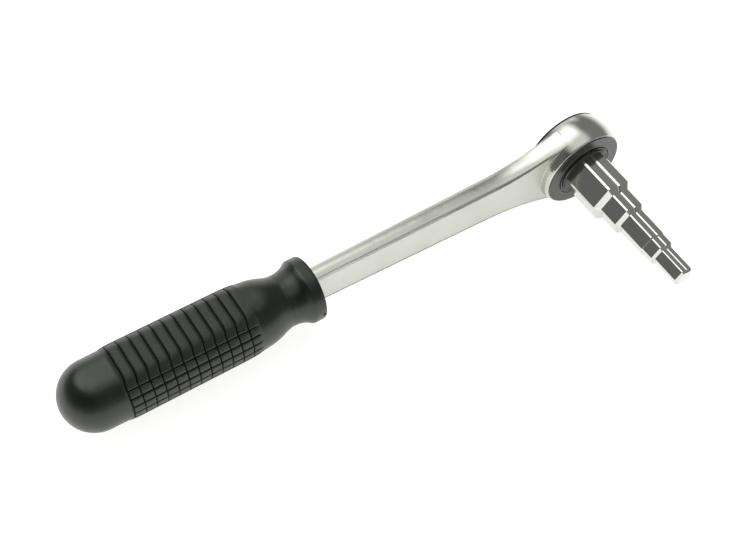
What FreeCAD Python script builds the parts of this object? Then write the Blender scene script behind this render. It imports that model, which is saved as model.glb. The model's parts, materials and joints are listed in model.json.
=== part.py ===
"""Ratchet wrench with a stepped key for threaded union tails.

All sizes are in millimetres. The origin is on the drive axis, in the middle of the head.
+X runs from the grip to the head, the stepped key points along -Y, and +Z is up.
The reversing dial is on the +Y side. Angles in the head are polar angles in the XZ plane,
counted from +X towards +Z.
"""
import FreeCAD
import Part
import math
import os

V = FreeCAD.Vector

# ---- driving dimensions -------------------------------------------------------------
# head of the forged handle
HEAD_MID_R = 20.6
HEAD_RIM_R = 19.4
HEAD_FRONT_Y = -7.9
HEAD_BACK_Y = 7.3
HEAD_EDGE = 0.35

# toothed bore in the head
TOOTH_COUNT = 60
TOOTH_ROOT_R = 16.2
TOOTH_TIP_R = 15.4
TOOTH_LAND = 0.22
BORE_FLOOR_Y = 4.6
COVER_SEAT_R = 16.9
COVER_SEAT_Y = -5.4
BACK_HOLE_R = 12.0

# middle plane of the shank and the grip, which lie a little towards the dial
HANDLE_Y = 0.5

# shank, which tapers to the grip and flares into the head
SHANK_GRIP_X = -140.0
SHANK_GRIP_HALF_THICK = 3.75
SHANK_HEAD_HALF_THICK = 4.6
SHANK_GRIP_HALF_WIDTH = 7.3
SHANK_NECK_HALF_WIDTH = 9.2
SHANK_BEVEL_WIDTH = 1.3
SHANK_BEVEL_DEPTH = 0.8
SHANK_BULGE = 2.0
FLARE_R = 110.0
FLARE_END_X = -9.0
PANEL_DEPTH = 0.2
PANEL_BORDER = 0.25

# tang inside the grip
TANG_END_X = -218.0
TANG_HALF_WIDTH = 5.5
TANG_HALF_THICK = 3.0

# grip
GRIP_R = 14.75
GRIP_DOME_X = -233.3
RIB_R = 15.25
RIB_START_X = -223.4
RIB_PITCH = 4.75
RIB_COUNT = 12
RIB_SLOPE = 1.4
GROOVE_WIDTH = 0.6
GROOVE_DEPTH = 0.45
FACET_Z = 13.75
FACET_MARGIN = 3.0
GRID_PITCH_ANGLE = 14.2
GRID_ROWS_PER_SIDE = 3
NECK_POINTS = [(-162.0, 14.15), (-157.0, 13.0), (-150.4, 11.33), (-145.5, 12.2)]
COLLAR_R = 14.05
COLLAR_BACK_X = -142.4
COLLAR_FRONT_X = -137.3
COLLAR_CHAMFER = 0.7

# rotor that carries the pawls
ROTOR_R = 15.15
ROTOR_FRONT_Y = -5.1
ROTOR_BACK_Y = 4.3
JOURNAL_R = 12.0
JOURNAL_FRONT_Y = -9.6
JOURNAL_EDGE = 0.3
FACE_GROOVE_OUT_R = 11.65
FACE_GROOVE_IN_R = 11.3
FACE_GROOVE_DEPTH = 0.35
BOSS_R = 6.5
BOSS_BACK_Y = 7.6
CAM_RECESS_R = 11.95
CAM_RECESS_Y = 0.4
POCKET_FLOOR_Y = -4.0
POCKET_IN_R = 10.5
POCKET_FROM = 3.0
POCKET_TO = 87.0
SNAP_GROOVE_DEPTH = 0.65
SNAP_GROOVE_FRONT_Y = -8.95
SNAP_GROOVE_BACK_Y = -8.25
DIAL_GROOVE_DEPTH = 0.5
DIAL_GROOVE_FRONT_Y = 6.65
DIAL_GROOVE_BACK_Y = 7.15
RUNNING_GAP = 0.05

# pawls, which are mirror images about the plane z = 0
PAWL_PIVOT_R = 13.2
PAWL_PIVOT_ANGLE = 56.0
PAWL_LIFT = 13.5
PAWL_FRONT_Y = -3.9
PAWL_BACK_Y = 4.2
PAWL_EYE_R = 1.6
PAWL_ARM_IN_R = 13.0
PAWL_ARM_OUT_R = 14.75
PAWL_TOOTH_GAP = 0.12
PAWL_TEETH = 3
PIN_R = 1.0
HEEL_ANGLE = 19.0
HEEL_NOSE_R = 1.1
HEEL_NOSE_IN_R = 10.75
HEEL_IN_R = 12.3
HEEL_OUT_R = 13.9
TIP_FROM_PIVOT_ANGLE = 38.0
TIP_END_ANGLE = 0.6

# springs under the pawls' tips
PAWL_SPRING_R = 1.05
PAWL_SPRING_WIRE = 0.18
PAWL_SPRING_TURNS = 4
PAWL_SPRING_BASE_R = 9.25
PAWL_SPRING_Y = -2.0
PAWL_SPRING_FROM_PIVOT_ANGLE = 35.0
PAWL_SPRING_HOLE_R = 1.45

# reversing dial
DIAL_R = 19.3
DIAL_RIM_BACK_Y = 8.0
DIAL_EDGE = 0.25
DIAL_CROWN_R = 13.0
DIAL_CROWN_Y = 8.9
DIAL_WELL_R = 8.2
DIAL_WELL_Y = 6.6
DIAL_THROW = 30.0
LUG_IN_R = 8.8
LUG_HEIGHT = 2.1
LUG_HALF_ANGLE = 14.0
HUB_R = 11.9
HUB_GROOVE_R = 11.1
HUB_GROOVE_FRONT_Y = 5.2
HUB_GROOVE_BACK_Y = 6.1
CAM_FRONT_Y = 0.6
CAM_BACK_Y = 4.4
CAM_BASE_R = 10.62
CAM_RISE = 1.0
CAM_DWELL_ANGLE = 4.0
CAM_STEP_ANGLE = 2.0
CAM_RAMP_POINTS = 10

# detent
DETENT_R = 9.3
DETENT_ANGLE = 180.0
BALL_R = 1.0
BALL_Y = 0.15
BALL_TRAVEL = 0.25
BALL_GAP = 0.08
DETENT_HOLE_Y = -3.4
DETENT_SPRING_R = 0.8
DETENT_SPRING_WIRE = 0.18
DETENT_SPRING_TURNS = 4

# front cover
COVER_R = 18.96
COVER_FRONT_Y = -8.5
COVER_SPIGOT_Y = -6.0
COVER_EDGE = 0.25
COVER_GROOVE_R = 12.95
COVER_GROOVE_FRONT_Y = -7.35
COVER_GROOVE_BACK_Y = -6.4
COVER_LIP_R = 14.1
COVER_LIP_HEIGHT = 0.15
COVER_LIP_SLOPE = 0.3
SNAP_RECESS_R = 13.5
SNAP_RECESS_Y = -8.1

# stepped key: for each step, half the width across the flats, the turned corner radius,
# and the places along the axis where the flats start and end
KEY_STEPS = [
    (9.82, 11.03, JOURNAL_FRONT_Y, -28.35),
    (7.61, 8.55, -30.57, -40.07),
    (6.01, 6.75, -41.75, -55.69),
    (5.65, 6.34, -56.25, -61.65),
    (4.46, 5.01, -62.75, -75.45),
]
KEY_TIP_CHAMFER = 0.9
KEY_PHASE = 143.3

# channel down two opposite sides of the key: (share along the side, depth as a share of half the flats)
KEY_CHANNEL = [(0.43, 0.033), (0.5, 0.08), (0.57, 0.033)]
TAIL_HALF_WIDTH = 6.5
TAIL_CORNER_R = 8.6
TAIL_BACK_Y = -0.7

# screw that clamps the key to the rotor
SCREW_R = 2.5
SCREW_HEAD_R = 4.25
SCREW_HEAD_BACK_Y = 7.3
SCREW_SEAT_Y = 3.6
LOCK_WASHER_THICK = 0.7
SCREW_TIP_Y = -8.4
SCREW_HOLE_R = 2.65
SOCKET_HALF_FLATS = 2.0
SOCKET_DEPTH = 1.7
WASHER_SLIT = 0.6

# retaining rings: outer radius, inner radius, front face and back face
SNAP_RING = (13.1, 11.4, -8.85, -8.3)
DIAL_RING = (7.6, 6.05, 6.68, 7.12)

# washers behind and in front of the rotor
THRUST_WASHER_R = 14.8
THRUST_WASHER_BORE_R = 12.3
WAVE_WASHER_R = 14.9
WAVE_WASHER_BORE_R = 12.6
WAVE_COUNT = 3
WAVE_RISE = 0.22
WAVE_THICK = 0.25

# round rubber rings: middle radius and place along the axis
SEAL_CORD_R = 0.42
FRONT_SEAL = (12.5, -6.87)
REAR_SEAL = (11.54, 5.65)


# ---- helpers ------------------------------------------------------------------------
def polar(radius, angle, y=0.0):
    """Point at a polar angle in degrees in the XZ plane."""
    turn = math.radians(angle)
    return V(radius * math.cos(turn), y, radius * math.sin(turn))


def disc(radius, y_from, y_to, centre=None):
    """Cylinder whose axis is parallel to Y."""
    base = centre or V(0, 0, 0)
    return Part.makeCylinder(radius, y_to - y_from, V(base.x, y_from, base.z), V(0, 1, 0))


def ring(outer, inner, y_from, y_to):
    """Flat washer on the Y axis."""
    return disc(outer, y_from, y_to).cut(disc(inner, y_from - 1, y_to + 1))


def turned(profile):
    """Solid of revolution about Y from (radius, y) points."""
    points = [V(r, y, 0) for r, y in profile]
    face = Part.Face(Part.makePolygon(points + points[:1]))
    return face.revolve(V(0, 0, 0), V(0, 1, 0), 360)


def plate(points, y_from, y_to):
    """Prism from (x, z) points, extruded along Y."""
    outline = [V(x, y_from, z) for x, z in points]
    face = Part.Face(Part.makePolygon(outline + outline[:1]))
    return face.extrude(V(0, y_to - y_from, 0))


def sector(outer, inner, angle_from, angle_to, y_from, y_to):
    """Part of a washer between two polar angles."""
    angles = (angle_from, (angle_from + angle_to) / 2, angle_to)
    outer_points = [polar(outer, angle, y_from) for angle in angles]
    inner_points = [polar(inner, angle, y_from) for angle in reversed(angles)]
    edges = [
        Part.Arc(*outer_points).toShape(),
        Part.makeLine(outer_points[-1], inner_points[0]),
        Part.Arc(*inner_points).toShape(),
        Part.makeLine(inner_points[-1], outer_points[0]),
    ]
    return Part.Face(Part.Wire(edges)).extrude(V(0, y_to - y_from, 0))


def turn_about(shape, centre, angle):
    """Copy of a shape turned by a polar angle about an axis parallel to Y."""
    copy = shape.copy()
    copy.rotate(centre, V(0, -1, 0), angle)
    return copy


def mirrored(shape):
    """Mirror image of a shape about the plane z = 0."""
    return shape.mirror(V(0, 0, 0), V(0, 0, 1))


def coil(radius, wire, length, turns, base, direction):
    """Closed compression spring: a round wire swept along a helix."""
    pitch = (length - 2 * wire) / turns
    helix = Part.makeHelix(pitch, pitch * turns, radius)
    start = V(radius, 0, 0)
    section = Part.Wire(Part.makeCircle(wire, start, V(0, 1, 0)))
    spring = Part.Wire(helix).makePipeShell([section], True, True)
    spring.translate(V(0, 0, wire))
    along = FreeCAD.Placement(base, FreeCAD.Rotation(V(0, 0, 1), direction))
    spring.Placement = along.multiply(spring.Placement)
    return spring


def save(name, shape):
    """Write one sub-part as a STEP file."""
    solid = shape.removeSplitter()
    solids = solid.Solids
    result = solids[0] if len(solids) == 1 else Part.makeCompound(solids)
    result.exportStep("parts/" + name + ".step")


# ---- forged handle ------------------------------------------------------------------
def tooth_space(gap):
    """Outline inside the toothed bore, moved in by a gap, as a prism between the bore's ends."""
    pitch = 360.0 / TOOTH_COUNT
    root_half = math.degrees(TOOTH_LAND / 2 / TOOTH_ROOT_R)
    tip_half = math.degrees(TOOTH_LAND / 2 / TOOTH_TIP_R)
    side_gap = math.degrees(gap / TOOTH_TIP_R)
    points = []
    for index in range(TOOTH_COUNT):
        centre = index * pitch
        for radius, offset in (
            (TOOTH_TIP_R - gap, -pitch / 2 + tip_half + side_gap),
            (TOOTH_ROOT_R - gap, -root_half + side_gap / 2),
            (TOOTH_ROOT_R - gap, root_half - side_gap / 2),
            (TOOTH_TIP_R - gap, pitch / 2 - tip_half - side_gap),
        ):
            corner = polar(radius, centre + offset)
            points.append((corner.x, corner.z))
    return plate(points, COVER_SEAT_Y - 0.1, BORE_FLOOR_Y)


def head_blank():
    """Barrel-shaped head before it is bored."""
    rim_front = V(HEAD_RIM_R, HEAD_FRONT_Y + HEAD_EDGE, 0)
    rim_back = V(HEAD_RIM_R, HEAD_BACK_Y - HEAD_EDGE, 0)
    middle = V(HEAD_MID_R, (HEAD_FRONT_Y + HEAD_BACK_Y) / 2, 0)
    edge_r = HEAD_RIM_R - HEAD_EDGE
    edges = [
        Part.Arc(rim_front, middle, rim_back).toShape(),
        Part.makeLine(rim_back, V(edge_r, HEAD_BACK_Y, 0)),
        Part.makeLine(V(edge_r, HEAD_BACK_Y, 0), V(0, HEAD_BACK_Y, 0)),
        Part.makeLine(V(0, HEAD_BACK_Y, 0), V(0, HEAD_FRONT_Y, 0)),
        Part.makeLine(V(0, HEAD_FRONT_Y, 0), V(edge_r, HEAD_FRONT_Y, 0)),
        Part.makeLine(V(edge_r, HEAD_FRONT_Y, 0), rim_front),
    ]
    return Part.Face(Part.Wire(edges)).revolve(V(0, 0, 0), V(0, 1, 0), 360)


def flared_width(x, neck_width, head_r):
    """Width from the centre line at a place along X: a taper, then an arc that meets the head's circle."""
    centre_z = neck_width + FLARE_R
    centre_x = -math.sqrt((head_r + FLARE_R) ** 2 - centre_z ** 2)
    if x > centre_x:
        return centre_z - math.sqrt(FLARE_R ** 2 - (x - centre_x) ** 2)
    share = (centre_x - x) / (centre_x - SHANK_GRIP_X)
    return neck_width - share * (SHANK_NECK_HALF_WIDTH - SHANK_GRIP_HALF_WIDTH)


def half_thickness(x):
    """Half thickness of the shank, which grows from the grip to the head."""
    share = (x - SHANK_GRIP_X) / (FLARE_END_X - SHANK_GRIP_X)
    return SHANK_GRIP_HALF_THICK + share * (SHANK_HEAD_HALF_THICK - SHANK_GRIP_HALF_THICK)


def head_radius(y):
    """Radius of the barrel-shaped head at a distance along the drive axis from its middle."""
    return HEAD_MID_R - (HEAD_MID_R - HEAD_RIM_R) * (2 * y / (HEAD_BACK_Y - HEAD_FRONT_Y)) ** 2


def flat_half_width(x):
    """Half width of the shank's flat front and back."""
    return flared_width(x, SHANK_NECK_HALF_WIDTH, head_radius(SHANK_HEAD_HALF_THICK))


def bevel_half_width(x):
    """Half width of the shank over the bevels beside its flats."""
    head_r = head_radius(SHANK_HEAD_HALF_THICK - SHANK_BEVEL_DEPTH)
    return flared_width(x, SHANK_NECK_HALF_WIDTH + SHANK_BEVEL_WIDTH, head_r)


def crown_half_width(x):
    """Half width of the shank over its bulging sides."""
    return flared_width(x, SHANK_NECK_HALF_WIDTH + SHANK_BULGE, HEAD_MID_R)


def shank_section(x):
    """Flat front and back, bevels beside them, and bulging sides."""
    flat_z = flat_half_width(x)
    bevel_z = bevel_half_width(x)
    crown_z = crown_half_width(x)
    flat_y = half_thickness(x)
    bevel_y = flat_y - SHANK_BEVEL_DEPTH
    around = [(-flat_y, flat_z), (-flat_y, -flat_z), (-bevel_y, -bevel_z), (0, -crown_z)]
    around += [(-y, -z) for y, z in around]
    corners = [V(x, HANDLE_Y + y, z) for y, z in around]
    edges = []
    for start in (0, 4):
        flat_from, flat_to, side_from, side_mid, next_flat = [corners[(start + k) % 8] for k in range(5)]
        side_to = V(x, 2 * HANDLE_Y - side_from.y, side_from.z)
        edges.append(Part.makeLine(flat_from, flat_to))
        edges.append(Part.makeLine(flat_to, side_from))
        edges.append(Part.Arc(side_from, side_mid, side_to).toShape())
        edges.append(Part.makeLine(side_to, next_flat))
    return Part.Wire(edges)


def shank_stations(count):
    """Evenly spaced places along the shank."""
    span = FLARE_END_X - SHANK_GRIP_X
    return [SHANK_GRIP_X + span * index / count for index in range(count + 1)]


def shank_panel(side):
    """Sunken panel in the front (-1) or the back (1) of the shank."""
    upper = [(x, flat_half_width(x) - PANEL_BORDER) for x in shank_stations(24)]
    lower = [(x, -z) for x, z in reversed(upper)]
    outline = plate(upper + lower, HANDLE_Y - HEAD_MID_R, HANDLE_Y + HEAD_MID_R)
    floor = [(x, side * (half_thickness(x) - PANEL_DEPTH)) for x in (SHANK_GRIP_X - 5, FLARE_END_X + 5)]
    outside = [(x, side * HEAD_MID_R) for x, _ in reversed(floor)]
    corners = [V(x, HANDLE_Y + y, -HEAD_MID_R) for x, y in floor + outside]
    wedge = Part.Face(Part.makePolygon(corners + corners[:1])).extrude(V(0, 0, 2 * HEAD_MID_R))
    return outline.common(wedge)


def tang_bar(end_x):
    """Flat bar inside the grip."""
    corner = V(TANG_END_X, HANDLE_Y - TANG_HALF_THICK, -TANG_HALF_WIDTH)
    return Part.makeBox(end_x - TANG_END_X, 2 * TANG_HALF_THICK, 2 * TANG_HALF_WIDTH, corner)


def make_handle_body():
    """Head, shank and tang in one forging, with the toothed bore for the pawls."""
    shank = Part.makeLoft([shank_section(x) for x in shank_stations(20)], True, False)
    shank = shank.cut(shank_panel(-1)).cut(shank_panel(1))
    tang = tang_bar(SHANK_GRIP_X + 1)
    body = head_blank().fuse([shank, tang])
    body = body.cut(disc(COVER_SEAT_R, HEAD_FRONT_Y - 1, COVER_SEAT_Y))
    body = body.cut(tooth_space(0))
    return body.cut(disc(BACK_HOLE_R, 0, HEAD_BACK_Y + 1))


# ---- grip ---------------------------------------------------------------------------
def rib_end_x():
    """Where the ribbed part of the grip ends."""
    return RIB_START_X + RIB_COUNT * RIB_PITCH


def grip_profile():
    """Half outline of the grip above its own axis, closed along that axis."""
    shoulder = V(rib_end_x() + RIB_SLOPE, 0, GRIP_R)
    collar_foot = V(COLLAR_BACK_X, 0, COLLAR_R)
    neck = Part.BSplineCurve()
    neck.interpolate([shoulder] + [V(x, 0, r) for x, r in NECK_POINTS] + [collar_foot])
    diagonal = GRIP_R * math.sqrt(0.5)
    dome_tip = V(GRIP_DOME_X - GRIP_R, 0, 0)
    dome_mid = V(GRIP_DOME_X - diagonal, 0, diagonal)
    dome_top = V(GRIP_DOME_X, 0, GRIP_R)
    rib_back = [V(RIB_START_X - RIB_SLOPE, 0, GRIP_R), V(RIB_START_X, 0, RIB_R)]
    rib_front = [V(rib_end_x(), 0, RIB_R), shoulder]
    corners = [dome_top] + rib_back + rib_front
    front_high = V(COLLAR_FRONT_X - COLLAR_CHAMFER, 0, COLLAR_R)
    front_low = V(COLLAR_FRONT_X, 0, COLLAR_R - COLLAR_CHAMFER)
    tail = [collar_foot, front_high, front_low, V(COLLAR_FRONT_X, 0, 0), dome_tip]
    edges = [Part.Arc(dome_tip, dome_mid, dome_top).toShape()]
    edges += [Part.makeLine(a, b) for a, b in zip(corners, corners[1:])]
    edges.append(neck.toShape())
    edges += [Part.makeLine(a, b) for a, b in zip(tail, tail[1:])]
    return Part.Face(Part.Wire(edges))


def grip_ring_groove(x):
    """Cutter for one groove around the grip."""
    start = x - GROOVE_WIDTH / 2
    length = GROOVE_WIDTH + 2
    core_z = FACET_Z - GROOVE_DEPTH
    outer = Part.makeCylinder(RIB_R + 2, GROOVE_WIDTH, V(start, 0, 0), V(1, 0, 0))
    inner = Part.makeCylinder(RIB_R - GROOVE_DEPTH, length, V(start - 1, 0, 0), V(1, 0, 0))
    core = Part.makeBox(length, 2 * RIB_R, 2 * core_z, V(start - 1, -RIB_R, -core_z))
    return outer.cut(inner.common(core))


def grip_long_groove(angle):
    """Cutter for one groove along the grip, at an angle from the front."""
    length = RIB_COUNT * RIB_PITCH
    corner = V(RIB_START_X, -RIB_R - 3 + GROOVE_DEPTH, -GROOVE_WIDTH / 2)
    box = Part.makeBox(length, 3, GROOVE_WIDTH, corner)
    box.rotate(V(0, 0, 0), V(1, 0, 0), angle)
    return box


def grip_facet(side):
    """Cutter for the flat along the top (1) or the bottom (-1) of the grip."""
    start = GRIP_DOME_X - GRIP_R
    length = rib_end_x() + FACET_MARGIN - start
    box = Part.makeBox(length, 4 * GRIP_R, 5, V(start, -2 * GRIP_R, FACET_Z))
    return box if side > 0 else mirrored(box)


def make_grip():
    """Moulded handle with a domed end, ribs above and below and a grid on its sides."""
    grip = grip_profile().revolve(V(0, 0, 0), V(1, 0, 0), 360)
    cutters = [grip_facet(1), grip_facet(-1)]
    cutters += [grip_ring_groove(RIB_START_X + RIB_PITCH * index) for index in range(1, RIB_COUNT)]
    for row in range(-GRID_ROWS_PER_SIDE, GRID_ROWS_PER_SIDE + 1):
        cutters.append(grip_long_groove(row * GRID_PITCH_ANGLE))
        cutters.append(grip_long_groove(180 + row * GRID_PITCH_ANGLE))
    grip = grip.cut(cutters)
    grip.translate(V(0, HANDLE_Y, 0))
    mouth = Part.makeLoft([shank_section(SHANK_GRIP_X), shank_section(COLLAR_FRONT_X + 0.5)], True, True)
    return grip.cut(tang_bar(SHANK_GRIP_X)).cut(mouth)


# ---- rotor and stepped key ----------------------------------------------------------
def square_tail(half, corner_r, y_from, y_to):
    """Square bar with turned corners."""
    bar = Part.makeBox(2 * half, y_to - y_from, 2 * half, V(-half, y_from, -half))
    return bar.common(disc(corner_r, y_from, y_to))


def spring_angle():
    """Polar angle of the spring under the tip of the upper pawl."""
    return PAWL_PIVOT_ANGLE - PAWL_SPRING_FROM_PIVOT_ANGLE


def spring_hole():
    """Radial blind hole for the upper pawl's spring."""
    base = polar(PAWL_SPRING_BASE_R - RUNNING_GAP, spring_angle(), PAWL_SPRING_Y)
    return Part.makeCylinder(PAWL_SPRING_HOLE_R, 4, base, polar(1, spring_angle()))


def make_rotor():
    """Pawl carrier: front journal for the cover, rear boss for the dial, and two pawl pockets."""
    pocket = sector(ROTOR_R + 2, POCKET_IN_R, POCKET_FROM, POCKET_TO, POCKET_FLOOR_Y, ROTOR_BACK_Y + 1)
    pin_hole = disc(PIN_R, ROTOR_FRONT_Y - 1, 0, polar(PAWL_PIVOT_R, PAWL_PIVOT_ANGLE))
    detent = polar(DETENT_R, DETENT_ANGLE)
    cutters = [
        pocket, mirrored(pocket),
        pin_hole, mirrored(pin_hole),
        spring_hole(), mirrored(spring_hole()),
        ring(CAM_RECESS_R, BOSS_R, CAM_RECESS_Y, ROTOR_BACK_Y + 1),
        ring(JOURNAL_R + 1, JOURNAL_R - SNAP_GROOVE_DEPTH, SNAP_GROOVE_FRONT_Y, SNAP_GROOVE_BACK_Y),
        ring(FACE_GROOVE_OUT_R, FACE_GROOVE_IN_R, JOURNAL_FRONT_Y - 1, JOURNAL_FRONT_Y + FACE_GROOVE_DEPTH),
        ring(BOSS_R + 1, BOSS_R - DIAL_GROOVE_DEPTH, DIAL_GROOVE_FRONT_Y, DIAL_GROOVE_BACK_Y),
        disc(BALL_R + RUNNING_GAP, DETENT_HOLE_Y, CAM_RECESS_Y + 1, detent),
        square_tail(TAIL_HALF_WIDTH, TAIL_CORNER_R, JOURNAL_FRONT_Y - 1, TAIL_BACK_Y + 0.1),
        disc(SCREW_HOLE_R, TAIL_BACK_Y - 1, BOSS_BACK_Y + 1),
        disc(SCREW_HEAD_R + 0.2, SCREW_SEAT_Y, BOSS_BACK_Y + 1),
    ]
    rotor = disc(ROTOR_R, ROTOR_FRONT_Y, ROTOR_BACK_Y)
    journal = turned([
        (0, ROTOR_FRONT_Y + 1), (0, JOURNAL_FRONT_Y), (JOURNAL_R - JOURNAL_EDGE, JOURNAL_FRONT_Y),
        (JOURNAL_R, JOURNAL_FRONT_Y + JOURNAL_EDGE), (JOURNAL_R, ROTOR_FRONT_Y + 1),
    ])
    rotor = rotor.fuse([journal, disc(BOSS_R, 0, BOSS_BACK_Y)])
    for cutter in cutters:
        rotor = rotor.cut(cutter)
    return rotor


def key_outline(half_flats, y):
    """Hexagon with a shallow channel down two opposite sides."""
    corner_r = half_flats / math.cos(math.radians(30))
    corners = [polar(corner_r, KEY_PHASE + 30 + 60 * side, y) for side in range(6)]
    points = []
    for side in range(6):
        start, end = corners[side], corners[(side + 1) % 6]
        points.append(start)
        if side % 3 == 1:
            inward = (start + end) * -0.5
            inward.y = 0
            inward = inward.normalize()
            for share, depth in KEY_CHANNEL:
                points.append(start + (end - start) * share + inward * (depth * half_flats))
    return Part.makePolygon(points + points[:1])


def make_stepped_key():
    """Five hexagonal steps with turned corners on a square tail."""
    outlines = []
    profile = [(0, JOURNAL_FRONT_Y)]
    for half, corner_r, y_start, y_end in KEY_STEPS:
        outlines += [key_outline(half, y_start), key_outline(half, y_end)]
        profile += [(corner_r, y_start), (corner_r, y_end)]
    last_half, last_r, _, last_y = KEY_STEPS[-1]
    tip_y = last_y - KEY_TIP_CHAMFER
    outlines.append(key_outline(last_half - KEY_TIP_CHAMFER, tip_y))
    profile += [(last_r - KEY_TIP_CHAMFER, tip_y), (0, tip_y)]
    key = Part.makeLoft(outlines, True, True).common(turned(profile))
    key = key.fuse(square_tail(TAIL_HALF_WIDTH, TAIL_CORNER_R, JOURNAL_FRONT_Y - 0.1, TAIL_BACK_Y))
    return key.cut(disc(SCREW_R, SCREW_TIP_Y - 0.5, TAIL_BACK_Y + 1))


def make_key_screw():
    """Socket head screw through the rotor into the key's tail."""
    head_front_y = SCREW_SEAT_Y + LOCK_WASHER_THICK
    screw = disc(SCREW_R, SCREW_TIP_Y, head_front_y + 0.5)
    screw = screw.fuse(disc(SCREW_HEAD_R, head_front_y, SCREW_HEAD_BACK_Y))
    socket_r = SOCKET_HALF_FLATS / math.cos(math.radians(30))
    corners = [polar(socket_r, 60 * side) for side in range(6)]
    outline = [(corner.x, corner.z) for corner in corners]
    return screw.cut(plate(outline, SCREW_HEAD_BACK_Y - SOCKET_DEPTH, SCREW_HEAD_BACK_Y + 1))


def make_key_lock_washer():
    """Split washer under the screw's head."""
    washer = ring(SCREW_HEAD_R - 0.1, SCREW_HOLE_R, SCREW_SEAT_Y, SCREW_SEAT_Y + LOCK_WASHER_THICK)
    slit = Part.makeBox(SCREW_HEAD_R + 1, 3, WASHER_SLIT, V(0, SCREW_SEAT_Y - 1, -WASHER_SLIT / 2))
    return washer.cut(slit)


# ---- pawls --------------------------------------------------------------------------
def make_pawl_upper():
    """Pawl on the +Z side, with its teeth in mesh with the head's bore."""
    pivot = polar(PAWL_PIVOT_R, PAWL_PIVOT_ANGLE)
    span = PAWL_TEETH * 360.0 / TOOTH_COUNT
    tip_middle = PAWL_PIVOT_ANGLE - TIP_FROM_PIVOT_ANGLE
    tip_from = tip_middle - span / 2 + TIP_END_ANGLE
    tip_to = tip_middle + span / 2 - TIP_END_ANGLE
    heel_to = PAWL_PIVOT_ANGLE + HEEL_ANGLE
    low, high = PAWL_FRONT_Y, PAWL_BACK_Y
    tip = sector(TOOTH_ROOT_R + 0.5, PAWL_ARM_IN_R, tip_from, tip_to, low, high)
    tip = tip.common(tooth_space(PAWL_TOOTH_GAP))
    arm = sector(PAWL_ARM_OUT_R, PAWL_ARM_IN_R, tip_from, PAWL_PIVOT_ANGLE, low, high)
    heel = sector(HEEL_OUT_R, HEEL_IN_R, PAWL_PIVOT_ANGLE, heel_to, low, high)
    nose = disc(HEEL_NOSE_R, low, high, polar(HEEL_NOSE_IN_R + HEEL_NOSE_R, heel_to))
    pawl = disc(PAWL_EYE_R, low, high, pivot).fuse([arm, tip, heel, nose])
    return pawl.cut(disc(PIN_R + RUNNING_GAP, low - 1, high + 1, pivot))


def make_pawl_lower():
    """Pawl on the -Z side, held out of mesh by the dial's cam."""
    pivot = polar(PAWL_PIVOT_R, -PAWL_PIVOT_ANGLE)
    return turn_about(mirrored(make_pawl_upper()), pivot, PAWL_LIFT)


def make_pawl_pin():
    """Pin of the upper pawl, pressed into the rotor's front web."""
    return disc(PIN_R, ROTOR_FRONT_Y + 0.1, PAWL_BACK_Y, polar(PAWL_PIVOT_R, PAWL_PIVOT_ANGLE))


def make_pawl_spring(end_r):
    """Spring from the rotor to the inner side of the upper pawl's tip."""
    base = polar(PAWL_SPRING_BASE_R, spring_angle(), PAWL_SPRING_Y)
    length = end_r - PAWL_SPRING_BASE_R
    return coil(PAWL_SPRING_R, PAWL_SPRING_WIRE, length, PAWL_SPRING_TURNS, base, polar(1, spring_angle()))


# ---- reversing dial and detent ------------------------------------------------------
def cam_outline():
    """Outline of the cam: a base circle with one ramp for each pawl's heel."""
    heel = PAWL_PIVOT_ANGLE + HEEL_ANGLE
    top_r = CAM_BASE_R + CAM_RISE
    shares = [index / CAM_RAMP_POINTS for index in range(CAM_RAMP_POINTS + 1)]
    lower_step = -heel - CAM_DWELL_ANGLE
    lower_end = -heel + DIAL_THROW
    upper_end = heel + DIAL_THROW
    upper_step = upper_end + CAM_DWELL_ANGLE
    low_from = upper_step + CAM_STEP_ANGLE
    low_span = 360 + lower_step - CAM_STEP_ANGLE - low_from
    samples = [(lower_step - CAM_STEP_ANGLE, CAM_BASE_R), (lower_step, top_r)]
    samples += [(-heel + share * DIAL_THROW, top_r - share * CAM_RISE) for share in shares]
    samples += [(lower_end + share * (heel - lower_end), CAM_BASE_R) for share in shares[1:-1]]
    samples += [(heel + share * DIAL_THROW, CAM_BASE_R + share * CAM_RISE) for share in shares]
    samples += [(upper_step, top_r), (low_from, CAM_BASE_R)]
    samples += [(low_from + share * low_span, CAM_BASE_R) for share in shares[1:-1]]
    corners = [polar(radius, angle) for angle, radius in samples]
    return [(corner.x, corner.z) for corner in corners]


def detent_track():
    """Channel that the ball runs in, with a deeper seat at each end of the dial's throw."""
    track_r = BALL_R + BALL_GAP
    start = polar(DETENT_R, DETENT_ANGLE, BALL_Y)
    section = Part.Face(Part.Wire(Part.makeCircle(track_r, start, V(0, 0, 1))))
    track = section.revolve(V(0, 0, 0), V(0, -1, 0), DIAL_THROW)
    for angle in (DETENT_ANGLE, DETENT_ANGLE + DIAL_THROW):
        for y in (BALL_Y, BALL_Y + BALL_TRAVEL):
            track = track.fuse(Part.makeSphere(track_r, polar(DETENT_R, angle, y)))
    return track


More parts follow.
